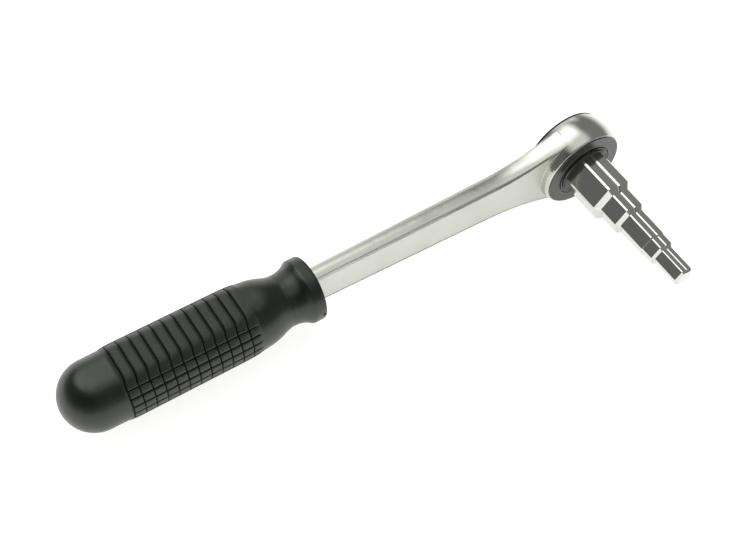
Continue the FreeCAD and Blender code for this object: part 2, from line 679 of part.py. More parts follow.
def make_reversing_dial():
    """Thin crowned disc with thumb lugs, a hub through the head's back and a cam for the pawls."""
    bore = BOSS_R + RUNNING_GAP
    disc_front_y = HEAD_BACK_Y + RUNNING_GAP
    cam_core_r = CAM_BASE_R - 1
    dial = turned([
        (bore, CAM_FRONT_Y), (bore, DIAL_WELL_Y),
        (DIAL_WELL_R, DIAL_WELL_Y), (DIAL_WELL_R, DIAL_CROWN_Y),
        (DIAL_CROWN_R, DIAL_CROWN_Y), (DIAL_R - DIAL_EDGE, DIAL_RIM_BACK_Y),
        (DIAL_R, DIAL_RIM_BACK_Y - DIAL_EDGE), (DIAL_R, disc_front_y),
        (HUB_R, disc_front_y), (HUB_R, HUB_GROOVE_BACK_Y),
        (HUB_GROOVE_R, HUB_GROOVE_BACK_Y), (HUB_GROOVE_R, HUB_GROOVE_FRONT_Y),
        (HUB_R, HUB_GROOVE_FRONT_Y), (HUB_R, CAM_BACK_Y),
        (cam_core_r, CAM_BACK_Y), (cam_core_r, CAM_FRONT_Y),
    ])
    cam = plate(cam_outline(), CAM_FRONT_Y, CAM_BACK_Y).cut(disc(bore, CAM_FRONT_Y - 1, CAM_BACK_Y + 1))
    lug_top_y = DIAL_CROWN_Y + LUG_HEIGHT
    lug = sector(DIAL_CROWN_R, LUG_IN_R, -LUG_HALF_ANGLE, LUG_HALF_ANGLE, DIAL_CROWN_Y - 0.2, lug_top_y)
    lugs = [turn_about(lug, V(0, 0, 0), angle) for angle in (90, 270)]
    return dial.fuse([cam] + lugs).cut(detent_track())


def make_detent_spring():
    """Spring behind the detent ball."""
    base = polar(DETENT_R, DETENT_ANGLE, DETENT_HOLE_Y)
    length = BALL_Y - BALL_R * 0.75 - DETENT_HOLE_Y
    return coil(DETENT_SPRING_R, DETENT_SPRING_WIRE, length, DETENT_SPRING_TURNS, base, V(0, 1, 0))


# ---- front cover, rings, washers and seals ------------------------------------------
def make_front_cover():
    """Turned plate that closes the head, with a seat for the retaining ring."""
    bore = JOURNAL_R + RUNNING_GAP
    spigot_r = COVER_SEAT_R - RUNNING_GAP
    lip_y = COVER_FRONT_Y - COVER_LIP_HEIGHT
    return turned([
        (bore, COVER_SPIGOT_Y), (bore, COVER_GROOVE_BACK_Y),
        (COVER_GROOVE_R, COVER_GROOVE_BACK_Y), (COVER_GROOVE_R, COVER_GROOVE_FRONT_Y),
        (bore, COVER_GROOVE_FRONT_Y), (bore, SNAP_RECESS_Y),
        (SNAP_RECESS_R, SNAP_RECESS_Y), (SNAP_RECESS_R, lip_y),
        (COVER_LIP_R, lip_y), (COVER_LIP_R + COVER_LIP_SLOPE, COVER_FRONT_Y),
        (COVER_R - COVER_EDGE, COVER_FRONT_Y), (COVER_R, COVER_FRONT_Y + COVER_EDGE),
        (COVER_R, HEAD_FRONT_Y), (spigot_r, HEAD_FRONT_Y), (spigot_r, COVER_SPIGOT_Y),
    ])


def make_retaining_ring():
    """Open spring ring that holds the cover on the rotor's journal."""
    outer, inner, front_y, back_y = SNAP_RING
    return sector(outer, inner, -40, 290, front_y, back_y)


def make_dial_retaining_ring():
    """Open spring ring that holds the dial on the rotor's boss."""
    outer, inner, front_y, back_y = DIAL_RING
    return sector(outer, inner, 0, 320, front_y, back_y)


def wave_loop(radius, offset):
    """Closed curve with the wave washer's waves, at a distance from its middle surface."""
    middle = (ROTOR_FRONT_Y + COVER_SPIGOT_Y) / 2 + offset
    points = []
    for angle in range(0, 360, 15):
        rise = WAVE_RISE * math.sin(math.radians(WAVE_COUNT * angle))
        points.append(polar(radius, angle, middle + rise))
    curve = Part.BSplineCurve()
    curve.interpolate(points, PeriodicFlag=True)
    return Part.Wire(curve.toShape())


def make_wave_washer():
    """Thin wavy spring between the rotor and the cover."""
    half = WAVE_THICK / 2
    loops = [
        wave_loop(WAVE_WASHER_BORE_R, -half), wave_loop(WAVE_WASHER_BORE_R, half),
        wave_loop(WAVE_WASHER_R, half), wave_loop(WAVE_WASHER_R, -half),
    ]
    surfaces = [Part.makeRuledSurface(a, b) for a, b in zip(loops, loops[1:] + loops[:1])]
    return Part.makeSolid(Part.makeShell([face for surface in surfaces for face in surface.Faces]))


def make_thrust_washer():
    """Flat washer between the rotor and the floor of the head's bore."""
    return ring(THRUST_WASHER_R, THRUST_WASHER_BORE_R, ROTOR_BACK_Y, BORE_FLOOR_Y)


def make_seal(radius, y):
    """Round rubber ring."""
    return Part.makeTorus(radius, SEAL_CORD_R, V(0, y, 0), V(0, 1, 0))


# ---- build --------------------------------------------------------------------------
def main():
    os.makedirs("parts", exist_ok=True)
    upper_pin = make_pawl_pin()
    parts = {
        "handle_body": make_handle_body(),
        "grip": make_grip(),
        "rotor": make_rotor(),
        "stepped_key": make_stepped_key(),
        "key_screw": make_key_screw(),
        "key_lock_washer": make_key_lock_washer(),
        "pawl_upper": make_pawl_upper(),
        "pawl_lower": make_pawl_lower(),
        "pawl_pin_upper": upper_pin,
        "pawl_pin_lower": mirrored(upper_pin),
        "pawl_spring_upper": make_pawl_spring(PAWL_ARM_IN_R - 0.05),
        "pawl_spring_lower": mirrored(make_pawl_spring(PAWL_ARM_IN_R - 2.0)),
        "reversing_dial": make_reversing_dial(),
        "detent_ball": Part.makeSphere(BALL_R, polar(DETENT_R, DETENT_ANGLE, BALL_Y)),
        "detent_spring": make_detent_spring(),
        "front_cover": make_front_cover(),
        "retaining_ring": make_retaining_ring(),
        "dial_retaining_ring": make_dial_retaining_ring(),
        "wave_washer": make_wave_washer(),
        "thrust_washer": make_thrust_washer(),
        "front_seal": make_seal(*FRONT_SEAL),
        "rear_seal": make_seal(*REAR_SEAL),
    }
    for name, shape in parts.items():
        save(name, shape)


main()
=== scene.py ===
"""Looks of the ratchet wrench with a stepped key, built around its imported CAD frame.

The scene is in metres in the CAD frame: the origin is on the drive axis, +X runs from the grip to
the head, the stepped key points along -Y and +Z is up. Sizes of the grip are in millimetres.
"""

import json
import math

import bpy
from mathutils import Matrix, Vector


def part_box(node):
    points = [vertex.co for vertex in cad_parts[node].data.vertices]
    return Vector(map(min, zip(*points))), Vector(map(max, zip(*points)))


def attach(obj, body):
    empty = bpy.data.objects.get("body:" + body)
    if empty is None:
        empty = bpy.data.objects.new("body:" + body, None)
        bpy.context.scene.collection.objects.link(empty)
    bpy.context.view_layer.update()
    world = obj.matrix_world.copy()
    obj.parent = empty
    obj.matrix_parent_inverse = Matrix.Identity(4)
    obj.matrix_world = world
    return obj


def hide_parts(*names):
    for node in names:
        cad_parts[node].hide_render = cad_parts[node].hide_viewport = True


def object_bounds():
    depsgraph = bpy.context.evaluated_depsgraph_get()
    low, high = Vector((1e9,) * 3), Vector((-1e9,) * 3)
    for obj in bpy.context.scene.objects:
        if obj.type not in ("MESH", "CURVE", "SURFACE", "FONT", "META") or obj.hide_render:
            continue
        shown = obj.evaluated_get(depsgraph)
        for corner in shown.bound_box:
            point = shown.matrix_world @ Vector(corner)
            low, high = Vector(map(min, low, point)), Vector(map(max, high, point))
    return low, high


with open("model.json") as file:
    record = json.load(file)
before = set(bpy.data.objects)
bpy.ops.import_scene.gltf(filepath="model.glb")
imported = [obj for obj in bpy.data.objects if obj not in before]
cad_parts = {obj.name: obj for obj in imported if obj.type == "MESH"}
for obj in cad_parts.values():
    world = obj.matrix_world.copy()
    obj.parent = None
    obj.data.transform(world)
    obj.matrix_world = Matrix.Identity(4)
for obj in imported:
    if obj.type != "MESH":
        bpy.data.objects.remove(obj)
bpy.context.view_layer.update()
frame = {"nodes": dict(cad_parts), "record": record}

MM = 0.001

# camera, from a fit of the circles of the head and the outline of the grip
CAMERA_PLACE = (-0.29726, -0.24138, 0.42782)
CAMERA_AZIMUTH = 38.613
CAMERA_ELEVATION = 55.106
CAMERA_ROLL = 6.345
CAMERA_LENS = 60.662
SENSOR_WIDTH = 36.0

# floor, in metres; its glow falls off along FLOOR_AWAY between the two places of FLOOR_FADE
FLOOR_HALF_SIDE = 4.0
FLOOR_GAP = 0.0002
FLOOR_GLOW = 0.86
FLOOR_DIM = 0.42
FLOOR_AWAY = (0.6, 0.8, 0.0)
FLOOR_FADE = (0.0, 0.4)

# what the chrome reflects: azimuth, elevation, half width, half height, softness, strength
STUDIO_BASE = 0.27
STUDIO_LIGHTS = [
    (98.0, 56.0, 0.42, 0.32, 0.26, 1.65),  # main softbox behind the tool
    (-80.0, -6.0, 1.1, 0.15, 0.05, 1.7),   # bright edge of the table in front
    (40.0, -2.0, 0.9, 0.14, 0.14, 0.35),   # faint edge of the table on the right
    (75.0, 16.0, 0.45, 0.28, 0.15, 0.8),   # low panel behind the tool
]
STUDIO_DARKS = [
    (166.0, 22.0, 0.7, 0.55, 0.3, 0.38),   # dark wall on the left
    (-135.0, 50.0, 0.55, 0.45, 0.35, 0.8),  # dark room behind the camera
]
CEILING_RISE = (0.78, 0.97)
CEILING_STRENGTH = 0.7

# lamps that light the floor and the plastic: name, place, target, size, power
LAMPS = [
    ("overhead", (0.1, 0.5, 1.2), (-0.1, 0.0, 0.0), (0.9, 0.7), 9.0),
    ("left_fill", (-1.1, -0.2, 0.7), (-0.1, 0.0, 0.0), (0.8, 0.6), 3.0),
]

# grip, along its axis from the domed end to the collar, in millimetres
HANDLE_Y = 0.5
DOME_R = 14.7
DOME_X = -233.3
DOME_STEPS = 30
BODY_PROFILE = [
    (-230.0, 14.7), (-225.4, 14.78), (-224.9, 15.05), (-220.0, 15.25), (-175.0, 15.25),
    (-169.0, 15.05), (-167.0, 14.9), (-166.4, 14.66), (-164.0, 14.4), (-162.0, 14.15), (-160.0, 13.8),
    (-157.0, 12.98), (-154.0, 11.97), (-151.0, 11.36), (-149.0, 11.4), (-147.0, 11.75), (-145.0, 12.4),
    (-143.5, 13.25), (-142.4, 13.95), (-141.8, 14.05), (-138.2, 14.05), (-137.6, 13.85), (-137.3, 13.4),
]
SHOULDER_STEP = 0.6
SHOULDER_STEPS = 14
NECK_STEPS = 52
COLLAR_STATIONS = [-142.2, -142.0, -137.75, -137.55, -137.45, -137.35]
FLANK_STEPS = 22

# handle, in millimetres: rounding of its edges on the shank and on the head, and where it changes
EDGE_ROUNDING = (0.5, 0.55)
EDGE_CHANGE_X = (-45.0, -20.0)

# the handle's dull panels are its flats beyond this distance from the drive axis
PANEL_FROM_AXIS = (20.2, 20.5)
PANEL_DULLNESS = 0.2

# flats above and below the grip
FACET_Z = 13.75
FACET_CORNER = 1.0

# grooves around the grip and along its front and back
RING_START_X = -223.4
RING_PITCH = 4.75
RING_COUNT = 12
GRID_PITCH_ANGLE = 14.2
GRID_ROWS = 3
GRID_R = 15.0
GRID_END_X = -167.6
GRID_START_RAMP = 0.1
GRID_END_RAMP = 0.3
GROOVE_HALF_WIDTH = 0.25
GROOVE_EDGE = 0.13
GROOVE_DEPTH = 0.5

# step of the front's grooves towards the dome: where it starts and ends along and around the grip
GRID_SHIFT = -0.9
SHIFT_ANGLES = (46.0, 66.0)
SHIFT_START = (-232.0, -226.0)
SHIFT_END = (-166.5, -160.0)

# stippled area of the ribs
STIPPLE_START = (-226.2, -224.8)
STIPPLE_GRID_END = (-166.5, -167.2)
STIPPLE_FLAT_END = (-163.5, -166.5)
STIPPLE_FLAT_Z = (13.4, 13.6)

# notch in the collar
NOTCH_ANGLE = -2.5
NOTCH_HALF_ANGLE = 3.0
NOTCH_EDGE_ANGLE = 0.8
NOTCH_START_X = -139.4
NOTCH_RISE = 0.1
NOTCH_DEPTH = 0.7

# slot for the shank and the tang: place along the axis, half thickness, half width
COLLAR_LIP = 0.5
SLOT_OUTLINE = [
    (-137.3, 4.1, 9.6), (-137.7, 3.95, 9.4), (-140.0, 3.95, 9.4), (-140.1, 3.0, 5.5), (-217.9, 3.0, 5.5),
]
SLOT_END_X = -218.0
SLOT_ROUNDNESS = 0.25


# ---- small helpers ------------------------------------------------------------------
def smooth(low, high, value):
    """0 below low, 1 above high, and a soft step between them."""
    share = min(1.0, max(0.0, (value - low) / (high - low)))
    return share * share * (3 - 2 * share)


def soft_min(a, b, blend):
    """The smaller of two numbers, rounded where they cross."""
    gap = max(blend - abs(a - b), 0.0) / blend
    return min(a, b) - gap * gap * blend / 4


def monotone_curve(points):
    """Function through (x, value) points that never overshoots between them."""
    xs = [x for x, _ in points]
    values = [value for _, value in points]
    spans = [b - a for a, b in zip(xs, xs[1:])]
    slopes = [(b - a) / span for a, b, span in zip(values, values[1:], spans)]
    tangents = [slopes[0]]
    for before, after in zip(slopes, slopes[1:]):
        flat = before * after <= 0
        tangents.append(0.0 if flat else 2 * before * after / (before + after))
    tangents.append(slopes[-1])

    def value_at(x):
        x = min(max(x, xs[0]), xs[-1])
        index = 0
        while index < len(spans) - 1 and x > xs[index + 1]:
            index += 1
        span = spans[index]
        t = (x - xs[index]) / span
        start = (1 + 2 * t) * (1 - t) ** 2 * values[index] + t * (1 - t) ** 2 * span * tangents[index]
        end = t * t * (3 - 2 * t) * values[index + 1] + t * t * (t - 1) * span * tangents[index + 1]
        return start + end

    return value_at


def add_mesh(name, vertices, faces, body, material):
    """New smooth mesh piece that moves with a CAD body. Vertices are in metres."""
    mesh = bpy.data.meshes.new(name)
    mesh.from_pydata(vertices, [], faces)
    mesh.validate()
    for polygon in mesh.polygons:
        polygon.use_smooth = True
    mesh.materials.append(material)
    piece = bpy.data.objects.new(name, mesh)
    bpy.context.scene.collection.objects.link(piece)
    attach(piece, body)
    return piece


# ---- material nodes -----------------------------------------------------------------
class Nodes:
    """Short way to fill a node tree."""

    def __init__(self, tree):
        self.tree = tree
        tree.nodes.clear()

    def add(self, kind, inputs=None, output=0, **settings):
        """Add a node, set or link its inputs, and return one of its outputs."""
        node = self.tree.nodes.new("ShaderNode" + kind)
        for name, value in settings.items():
            setattr(node, name, value)
        for name, value in (inputs or {}).items():
            if isinstance(value, bpy.types.NodeSocket):
                self.tree.links.new(value, node.inputs[name])
            else:
                node.inputs[name].default_value = value
        return node.outputs[output] if node.outputs else node

    def math(self, operation, a, b=0.0, clamp=False):
        return self.add("Math", {0: a, 1: b}, operation=operation, use_clamp=clamp)

    def vector(self, operation, a, b, output=0):
        return self.add("VectorMath", {0: a, 1: b}, output=output, operation=operation)

    def ramp(self, value, low, high, to_low=0.0, to_high=1.0):
        """Soft step of a value from low to high."""
        inputs = {"Value": value, "From Min": low, "From Max": high, "To Min": to_low, "To Max": to_high}
        return self.add("MapRange", inputs, interpolation_type="SMOOTHSTEP")

    def step(self, value, span):
        """Soft step of a place in metres over a span in millimetres."""
        return self.ramp(value, span[0] * MM, span[1] * MM)

    def noise(self, place, scale, detail=2.0, rough=0.5, output=0):
        inputs = {"Vector": place, "Scale": scale, "Detail": detail, "Roughness": rough}
        return self.add("TexNoise", inputs, output=output)

    def blend(self, share, a, b):
        """Mix of two colours."""
        return self.add("Mix", {0: share, 6: a, 7: b}, output=2, data_type="RGBA")

    def stretch(self, place, scale):
        """Place multiplied by a factor along each axis, so that noise on it runs in streaks."""
        return self.vector("MULTIPLY", place, scale)

    def place(self):
        """Place on the object in metres."""
        return self.add("TexCoord", output=3)

    def bevel(self, radius):
        """Normal that rounds the sharp edges."""
        return self.add("Bevel", {"Radius": radius}, samples=6)

    def bump(self, height, distance, normal=None, strength=1.0):
        inputs = {"Height": height, "Distance": distance, "Strength": strength}
        if normal is not None:
            inputs["Normal"] = normal
        return self.add("Bump", inputs)

    def surface(self, **inputs):
        """Principled surface on the material's output. Underscores in the names stand for spaces."""
        named = {name.replace("_", " "): value for name, value in inputs.items()}
        shader = self.add("BsdfPrincipled", named)
        self.tree.links.new(shader, self.add("OutputMaterial").inputs[0])


def new_material(name, base):
    """Material with a node tree, and a plain colour for viewers that don't read nodes."""
    material = bpy.data.materials.new(name)
    material.use_nodes = True
    material.diffuse_color = base
    return material, Nodes(material.node_tree)


def satin_chrome():
    """Satin chrome plate over a forging, with fine grain and slow waves, duller on the flat panels."""
    material, n = new_material("handle_chrome_look", (0.6, 0.6, 0.56, 1))
    place = n.place()
    x = n.add("SeparateXYZ", {0: place})
    waves = n.noise(place, 45.0, 2.0)
    grain = n.noise(place, 4200.0, 3.0, 0.75)
    streaks = n.noise(n.stretch(place, (60.0, 1500.0, 1500.0)), 1.0, 3.0)
    on_shank, on_head = EDGE_ROUNDING
    growth = n.math("MULTIPLY", n.step(x, EDGE_CHANGE_X), (on_head - on_shank) * MM)
    rounded = n.bevel(n.math("ADD", growth, on_shank * MM))
    wavy = n.bump(waves, 0.10 * MM, rounded)
    grained = n.bump(grain, 0.004 * MM, wavy)
    light = (0.585, 0.59, 0.535, 1)
    dark = (0.545, 0.55, 0.50, 1)
    tint = n.blend(n.ramp(waves, 0.35, 0.7), light, dark)
    facing = n.math("ABSOLUTE", n.add("SeparateXYZ", {0: n.add("NewGeometry", output=1)}, output=1))
    from_axis = n.vector("LENGTH", n.stretch(place, (1.0, 0.0, 1.0)), (0, 0, 0), output=1)
    panel = n.math("MULTIPLY", n.ramp(facing, 0.93, 0.97), n.step(from_axis, PANEL_FROM_AXIS))
    rough = n.math("ADD", n.ramp(streaks, 0.3, 0.7, 0.12, 0.18), n.math("MULTIPLY", panel, PANEL_DULLNESS))
    n.surface(Base_Color=tint, Metallic=1.0, Roughness=rough, Normal=grained)
    return material


def bright_chrome():
    """Bright chrome plate on machined flats, with faint milling lines along the key."""
    material, n = new_material("key_chrome_look", (0.6, 0.62, 0.58, 1))
    place = n.place()
    lines = n.noise(n.stretch(place, (2600.0, 90.0, 2600.0)), 1.0, 2.0)
    specks = n.noise(place, 3400.0, 3.0, 0.75)
    rounded = n.bevel(0.12 * MM)
    milled = n.bump(lines, 0.002 * MM, rounded)
    speckled = n.bump(specks, 0.002 * MM, milled)
    dark = (0.60, 0.615, 0.575, 1)
    light = (0.66, 0.675, 0.635, 1)
    tint = n.blend(n.ramp(specks, 0.35, 0.65), dark, light)
    rough = n.ramp(lines, 0.3, 0.7, 0.11, 0.17)
    n.surface(Base_Color=tint, Metallic=1.0, Roughness=rough, Normal=speckled)
    return material


def grip_plastic():
    """Black moulded plastic: satin on the dome and the neck, stippled on the ribs, with painted shade in
    the grooves.
    """
    material, n = new_material("grip_plastic_look", (0.03, 0.033, 0.029, 1))
    place = n.place()
    x = n.add("SeparateXYZ", {0: place})
    z = n.math("ABSOLUTE", n.add("SeparateXYZ", {0: place}, output=2))
    on_flat = n.step(z, STIPPLE_FLAT_Z)
    grid_end = n.step(x, STIPPLE_GRID_END)
    flat_end = n.math("MULTIPLY", n.step(x, STIPPLE_FLAT_END), on_flat)
    inside = n.math("MULTIPLY", n.step(x, STIPPLE_START), n.math("MAXIMUM", grid_end, flat_end))
    stipple = n.noise(place, 2300.0, 3.0, 0.8)
    orange_peel = n.noise(place, 420.0, 2.0)
    scuffs = n.noise(n.stretch(place, (240.0, 90.0, 90.0)), 1.0, 4.0, 0.65)
    stippled = n.bump(n.math("MULTIPLY", stipple, inside), 0.11 * MM)
    peeled = n.bump(orange_peel, 0.010 * MM, stippled)
    dusty = n.math("MULTIPLY", n.ramp(scuffs, 0.45, 0.75), 0.07)
    flecks = n.math("MULTIPLY", n.ramp(stipple, 0.45, 0.7), 0.5)
    lift = n.math("ADD", n.math("MULTIPLY", inside, flecks), dusty, clamp=True)
    black = (0.0022, 0.0028, 0.0020, 1)
    grey = (0.020, 0.023, 0.019, 1)
    tint = n.blend(lift, black, grey)
    smooth_rough = n.ramp(scuffs, 0.3, 0.7, 0.31, 0.37)
    rough = n.math("ADD", smooth_rough, n.math("MULTIPLY", inside, 0.1))
    # painted shade: the shine is cut by each groove's depth share, so the grooves read darker
    groove = n.add("Attribute", output=2, attribute_name="groove")
    level = n.math("SUBTRACT", 0.5, n.math("MULTIPLY", groove, 0.42))
    shine = (0.90, 1.0, 0.87, 1)
    n.surface(
        Base_Color=tint, Roughness=rough, Normal=peeled, IOR=1.62, Specular_Tint=shine,
        Specular_IOR_Level=level)
    return material


def turned_black():
    """Blackened steel turned on a lathe: fine rings about the drive axis."""
    material, n = new_material("cover_black_look", (0.09, 0.09, 0.088, 1))
    place = n.place()
    radius = n.vector("LENGTH", n.stretch(place, (1.0, 0.0, 1.0)), (0, 0, 0), output=1)
    rings = n.noise(n.add("CombineXYZ", {0: radius}), 5200.0, 2.0, 0.6)
    blotches = n.noise(place, 260.0, 3.0)
    ringed = n.bump(rings, 0.010 * MM, n.bevel(0.25 * MM))
    dark = (0.075, 0.077, 0.072, 1)
    light = (0.115, 0.117, 0.11, 1)
    rough = n.ramp(blotches, 0.3, 0.7, 0.3, 0.38)
    n.surface(Base_Color=n.blend(blotches, dark, light), Metallic=0.9, Roughness=rough, Normal=ringed)
    return material


def dull_steel(name, dark, light, rough_low, rough_high, edge):
    """Plain or treated steel with a fine grain, cloudy tint and rounded edges."""
    material, n = new_material(name, light)
    place = n.place()
    clouds = n.noise(place, 330.0, 4.0, 0.6)
    grain = n.noise(place, 2600.0, 2.0, 0.7)
    grained = n.bump(grain, 0.004 * MM, n.bevel(edge))
    tint = n.blend(n.ramp(clouds, 0.35, 0.65), dark, light)
    rough = n.ramp(clouds, 0.3, 0.7, rough_low, rough_high)
    n.surface(Base_Color=tint, Metallic=1.0, Roughness=rough, Normal=grained)
    return material


def dial_plastic():
    """Satin black glass-filled plastic with a fine mould grain."""
    material, n = new_material("dial_plastic_look", (0.03, 0.03, 0.03, 1))
    place = n.place()
    grain = n.noise(place, 2400.0, 3.0, 0.75)
    clouds = n.noise(place, 180.0, 3.0)
    grained = n.bump(grain, 0.02 * MM, n.bevel(0.25 * MM))
    dark = (0.012, 0.012, 0.012, 1)
    light = (0.022, 0.022, 0.021, 1)
    tint = n.blend(n.ramp(clouds, 0.4, 0.7), dark, light)
    rough = n.ramp(clouds, 0.3, 0.7, 0.36, 0.46)
    n.surface(Base_Color=tint, Roughness=rough, Normal=grained)
    return material


def seal_rubber():
    """Matt rubber with a faint bloom."""
    material, n = new_material("seal_rubber_look", (0.02, 0.02, 0.02, 1))
    place = n.place()
    bloom = n.noise(place, 500.0, 3.0)
    dark = (0.010, 0.010, 0.010, 1)
    light = (0.028, 0.028, 0.027, 1)
    tint = n.blend(n.ramp(bloom, 0.45, 0.75), dark, light)
    n.surface(Base_Color=tint, Roughness=0.62, Normal=n.bump(bloom, 0.01 * MM))
    return material


def make_materials():
    """Material of each slot in the record."""
    return {
        "handle_chrome": satin_chrome(),
        "key_chrome": bright_chrome(),
        "grip_plastic": grip_plastic(),
        "cover_black": turned_black(),
        "ring_black": dull_steel(
            "ring_black_look", (0.06, 0.06, 0.06, 1), (0.11, 0.11, 0.108, 1), 0.34, 0.46, 0.12 * MM),
        "dial_plastic": dial_plastic(),
        "carrier_steel": dull_steel(
            "carrier_steel_look", (0.16, 0.16, 0.155, 1), (0.27, 0.27, 0.26, 1), 0.28, 0.4, 0.15 * MM),
        "screw_steel": dull_steel(
            "screw_steel_look", (0.42, 0.42, 0.41, 1), (0.55, 0.55, 0.54, 1), 0.2, 0.3, 0.12 * MM),
        "spring_steel": dull_steel(
            "spring_steel_look", (0.33, 0.33, 0.32, 1), (0.46, 0.46, 0.45, 1), 0.22, 0.32, 0.05 * MM),
        "seal_rubber": seal_rubber(),
    }


def dress_cad_nodes(materials):
    """Give each CAD node the material of its slot in the record."""
    for row in frame["record"]["subparts"]:
        node = frame["nodes"][row["node"]]
        node.data.materials.clear()
        node.data.materials.append(materials[row["material_slot"]])


# ---- grip ---------------------------------------------------------------------------
def groove_share(distance):
    """How deep a groove is, from 1 on its centre line to 0 beyond its rounded edge."""
    return 1 - smooth(GROOVE_HALF_WIDTH - GROOVE_EDGE / 2, GROOVE_HALF_WIDTH + GROOVE_EDGE / 2, distance)


def groove_offsets():
    """Distances from a groove's centre line at which the mesh needs points."""
    half, edge = GROOVE_HALF_WIDTH, GROOVE_EDGE
    side = [half - edge / 2, half - edge / 5, half + edge / 5, half + edge / 2]
    return [-offset for offset in reversed(side)] + side


def grip_angles():
    """Angles around the grip, counted from the front, that follow its long grooves and the notch."""
    grid = []
    for row in range(-GRID_ROWS, GRID_ROWS + 1):
        centre = row * GRID_PITCH_ANGLE
        grid += [centre + math.degrees(offset / GRID_R) for offset in groove_offsets()]
        if row < GRID_ROWS:
            grid += [centre + share * GRID_PITCH_ANGLE for share in (0.32, 0.5, 0.68)]
    last = max(grid)
    step = (90.0 - last) / FLANK_STEPS
    flank = [last + step * index for index in range(1, FLANK_STEPS)]
    notch_edge = NOTCH_ANGLE - NOTCH_HALF_ANGLE
    notch = [notch_edge - 0.1, notch_edge + 0.7]
    half_turn = sorted(grid + flank + notch + [-angle for angle in flank] + [90.0])
    return half_turn + [angle + 180.0 for angle in half_turn]


def grip_stations():
    """(place along the axis, radius) of each ring of points, before the grooves are cut."""
    curve = monotone_curve(BODY_PROFILE)
    dome = []
    for index in range(1, DOME_STEPS):
        angle = math.radians(90.0 * index / DOME_STEPS)
        dome.append((DOME_X - DOME_R * math.cos(angle), DOME_R * math.sin(angle)))
    xs = [DOME_X + SHOULDER_STEP * index for index in range(SHOULDER_STEPS)]
    for index in range(RING_COUNT + 1):
        centre = RING_START_X + index * RING_PITCH
        xs += [centre + offset for offset in groove_offsets()]
        if index < RING_COUNT:
            xs += [centre + share * RING_PITCH for share in (0.3, 0.5, 0.7)]
    front = BODY_PROFILE[-1][0]
    start = max(xs) + 0.4
    xs += [start + (front - start) * index / NECK_STEPS for index in range(NECK_STEPS + 1)]
    xs += COLLAR_STATIONS + [NOTCH_START_X, NOTCH_START_X + NOTCH_RISE]
    return dome + [(x, curve(x)) for x in sorted(set(round(x, 4) for x in xs))]


def ring_shift(angle):
    """How far the grooves around the grip step towards the dome where they pass over to its front."""
    from_front = abs((angle + 180.0) % 360.0 - 180.0)
    return GRID_SHIFT * (1 - smooth(*SHIFT_ANGLES, from_front))


def texture_depth(x, angle):
    """Depth of the grooves at a place on the grip, before the place itself is moved by ring_shift."""
    from_front = (angle + 90.0) % 180.0 - 90.0
    index = min(max(round((x - RING_START_X) / RING_PITCH), 0), RING_COUNT - 1)
    ring = groove_share(abs(x - RING_START_X - index * RING_PITCH))
    row = min(max(round(from_front / GRID_PITCH_ANGLE), -GRID_ROWS), GRID_ROWS)
    across = math.radians(abs(from_front - row * GRID_PITCH_ANGLE)) * DOME_R
    begun = smooth(RING_START_X - GRID_START_RAMP, RING_START_X + GRID_START_RAMP, x)
    ended = smooth(GRID_END_X - GRID_END_RAMP, GRID_END_X, x)
    return GROOVE_DEPTH * max(ring, groove_share(across) * (begun - ended))


def notch_depth(x, angle):
    """Depth of the small notch in the collar's front edge."""
    near = 1 - smooth(NOTCH_HALF_ANGLE - NOTCH_EDGE_ANGLE, NOTCH_HALF_ANGLE, abs(angle - NOTCH_ANGLE))
    return NOTCH_DEPTH * near * smooth(NOTCH_START_X, NOTCH_START_X + NOTCH_RISE, x)


def grip_point(x, radius, angle):
    """Point on the outside of the grip in millimetres."""
    turn = math.radians(angle)
    rise = max(abs(math.sin(turn)), 0.2)
    flat = soft_min(radius, FACET_Z / rise, FACET_CORNER)
    flat -= texture_depth(x, angle) + notch_depth(x, angle)
    shifted = smooth(*SHIFT_START, x) - smooth(*SHIFT_END, x)
    return (x + ring_shift(angle) * shifted, HANDLE_Y - flat * math.cos(turn), flat * math.sin(turn))


def slot_point(x, half_y, half_z, angle):
    """Point on a rounded rectangular slot around the grip's axis."""
    turn = math.radians(angle)
    y = -math.copysign(abs(math.cos(turn)) ** SLOT_ROUNDNESS, math.cos(turn)) * half_y
    z = math.copysign(abs(math.sin(turn)) ** SLOT_ROUNDNESS, math.sin(turn)) * half_z
    return (x, HANDLE_Y + y, z)


def build_grip(material):
    """Grip with its dome, ribs, grid, neck and collar, and the slot that the tang sits in."""
    tip_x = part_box("grip")[0].x / MM
    angles = grip_angles()
    stations = grip_stations()
    rings = [[grip_point(x, radius, angle) for angle in angles] for x, radius in stations]
    front_x, front_r = BODY_PROFILE[-1]
    rings.append([grip_point(front_x, front_r - COLLAR_LIP, angle) for angle in angles])
    for x, half_y, half_z in SLOT_OUTLINE:
        rings.append([slot_point(x, half_y, half_z, angle) for angle in angles])
    vertices = [(tip_x, HANDLE_Y, 0.0)]
    for ring in rings:
        vertices += ring
    vertices.append((SLOT_END_X, HANDLE_Y, 0.0))
    count = len(angles)
    faces = []
    for side in range(count):
        following = (side + 1) % count
        faces.append((0, 1 + side, 1 + following))
        for index in range(len(rings) - 1):
            near = 1 + index * count
            far = near + count
            faces.append((near + side, far + side, far + following, near + following))
        last = 1 + (len(rings) - 1) * count
        faces.append((len(vertices) - 1, last + following, last + side))
    metres = [(x * MM, y * MM, z * MM) for x, y, z in vertices]
    piece = add_mesh("grip_moulding", metres, faces, "handle", material)
    # depth share of the grooves at each point, which the plastic uses for painted shade in the grooves
    groove_shade_shares = piece.data.attributes.new("groove", "FLOAT", "POINT")
    outside = [texture_depth(x, angle) / GROOVE_DEPTH for x, _ in stations for angle in angles]
    groove_shade_shares.data.foreach_set("value", [0.0] + outside + [0.0] * (len(vertices) - 1 - len(outside)))
    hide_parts("grip")
    return piece


